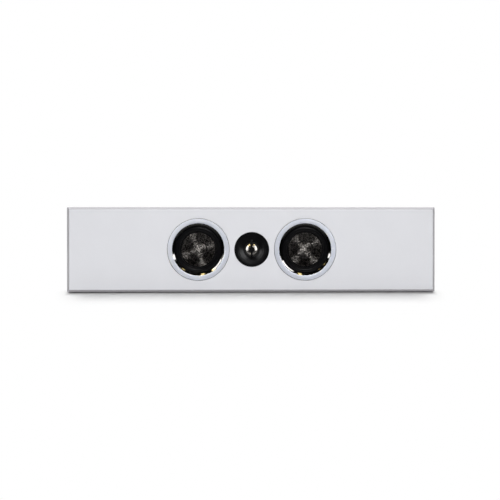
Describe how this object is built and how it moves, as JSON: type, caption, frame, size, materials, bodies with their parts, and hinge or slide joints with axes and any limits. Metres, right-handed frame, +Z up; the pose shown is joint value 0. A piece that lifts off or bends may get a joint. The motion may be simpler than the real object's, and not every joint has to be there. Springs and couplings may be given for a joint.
{
  "type": "on-wall speaker",
  "caption": "Wide shallow on-wall speaker: white bevelled cabinet with woven carbon cone woofers in silver rings either side of a dome tweeter, screw terminals and keyhole hangers.",
  "frame": {"origin": "middle of the rear face, which lies on the wall", "axes": "+X right and +Z up as seen from the front, +Y into the wall"},
  "size_m": [0.84, 0.106, 0.193],
  "materials": {
    "cabinet_paint": "satin white paint on fibreboard",
    "bare_board": "bare fibreboard",
    "rear_paint": "matt black paint on fibreboard",
    "foam": "open-cell foam",
    "ring_silver": "satin with a polished inner bevel",
    "cast_grey": "black powder coat",
    "rubber": "matt",
    "carbon": "woven carbon fibre",
    "copper": "enamelled wire",
    "spider_cloth": "resin-dipped cloth",
    "steel": "zinc plated",
    "ferrite": "sintered",
    "screws": "black zinc",
    "black_plastic": "fine texture",
    "red_plastic": "clear gloss",
    "dome_metal": "satin",
    "film": "doped cloth",
    "gold_plate": "gold plated",
    "board": "phenolic board",
    "capacitor_case": "moulded case",
    "resistor_case": "cemented body"
  },
  "bodies": {
    "cabinet": {"black_terminal_post": "gold_plate", "board_standoffs": "black_plastic", "bottom_panel": "cabinet_paint", "crossover_board": "board", "crossover_capacitors": "capacitor_case", "crossover_resistors": "resistor_case", "damping_foam": "foam", "front_baffle": "cabinet_paint", "keyhole_plates": "steel", "keyhole_screws": "screws", "left_brace": "bare_board", "left_end_panel": "cabinet_paint", "left_woofer_basket": "cast_grey", "left_woofer_magnet": "ferrite", "left_woofer_spider": "spider_cloth", "left_woofer_surround": "rubber", "left_woofer_top_plate": "steel", "left_woofer_trim_ring": "ring_silver", "left_woofer_yoke": "steel", "rear_panel": "rear_paint", "red_terminal_post": "gold_plate", "right_brace": "bare_board", "right_end_panel": "cabinet_paint", "right_woofer_basket": "cast_grey", "right_woofer_magnet": "ferrite", "right_woofer_spider": "spider_cloth", "right_woofer_surround": "rubber", "right_woofer_top_plate": "steel", "right_woofer_trim_ring": "ring_silver", "right_woofer_yoke": "steel", "terminal_cup": "black_plastic", "terminal_cup_screws": "screws", "terminal_nuts": "gold_plate", "top_panel": "cabinet_paint", "tweeter_faceplate": "black_plastic", "tweeter_inductor": "copper", "tweeter_magnet": "ferrite", "tweeter_pole_plate": "steel", "tweeter_rear_chamber": "black_plastic", "tweeter_screws": "screws", "tweeter_suspension": "film", "tweeter_yoke": "steel", "woofer_gaskets": "rubber", "woofer_inductor": "copper", "woofer_screws": "screws"},
    "left_diaphragm": {"left_woofer_cone": "carbon", "left_woofer_dust_cap": "carbon", "left_woofer_voice_coil": "copper"},
    "right_diaphragm": {"right_woofer_cone": "carbon", "right_woofer_dust_cap": "carbon", "right_woofer_voice_coil": "copper"},
    "tweeter_diaphragm": {"tweeter_dome": "dome_metal", "tweeter_voice_coil": "copper"},
    "red_insert": {"red_knob_insert": "gold_plate"},
    "red_knob": {"red_terminal_knob": "red_plastic"},
    "black_insert": {"black_knob_insert": "gold_plate"},
    "black_knob": {"black_terminal_knob": "black_plastic"}
  },
  "joints": [
    {"name": "left_woofer_stroke", "type": "slide", "parent": "cabinet", "child": "left_diaphragm", "axis": [0, -1, 0], "range_m": [-0.004, 0.004], "stiffness_N_per_m": 1000, "deforming": ["left_woofer_surround", "left_woofer_spider"]},
    {"name": "right_woofer_stroke", "type": "slide", "parent": "cabinet", "child": "right_diaphragm", "axis": [0, -1, 0], "range_m": [-0.004, 0.004], "stiffness_N_per_m": 1000, "deforming": ["right_woofer_surround", "right_woofer_spider"]},
    {"name": "tweeter_stroke", "type": "slide", "parent": "cabinet", "child": "tweeter_diaphragm", "axis": [0, -1, 0], "range_m": [-0.0003, 0.0003], "stiffness_N_per_m": 2000, "deforming": ["tweeter_suspension"]},
    {"name": "red_thread", "type": "slide", "parent": "cabinet", "child": "red_insert", "axis": [0, 1, 0], "range_m": [0, 0.005]},
    {"name": "red_knob_turn", "type": "hinge", "parent": "red_insert", "child": "red_knob", "pos_m": [0.00953, 0, -0.04], "axis": [0, 1, 0], "range_deg": [0, 1800]},
    {"name": "black_thread", "type": "slide", "parent": "cabinet", "child": "black_insert", "axis": [0, 1, 0], "range_m": [0, 0.005]},
    {"name": "black_knob_turn", "type": "hinge", "parent": "black_insert", "child": "black_knob", "pos_m": [-0.00953, 0, -0.04], "axis": [0, 1, 0], "range_deg": [0, 1800]}
  ],
  "couplings": [
    {"joint": "red_knob_turn", "follows": "red_thread", "rad_per_m": 6283.2},
    {"joint": "black_knob_turn", "follows": "black_thread", "rad_per_m": 6283.2}
  ]
}
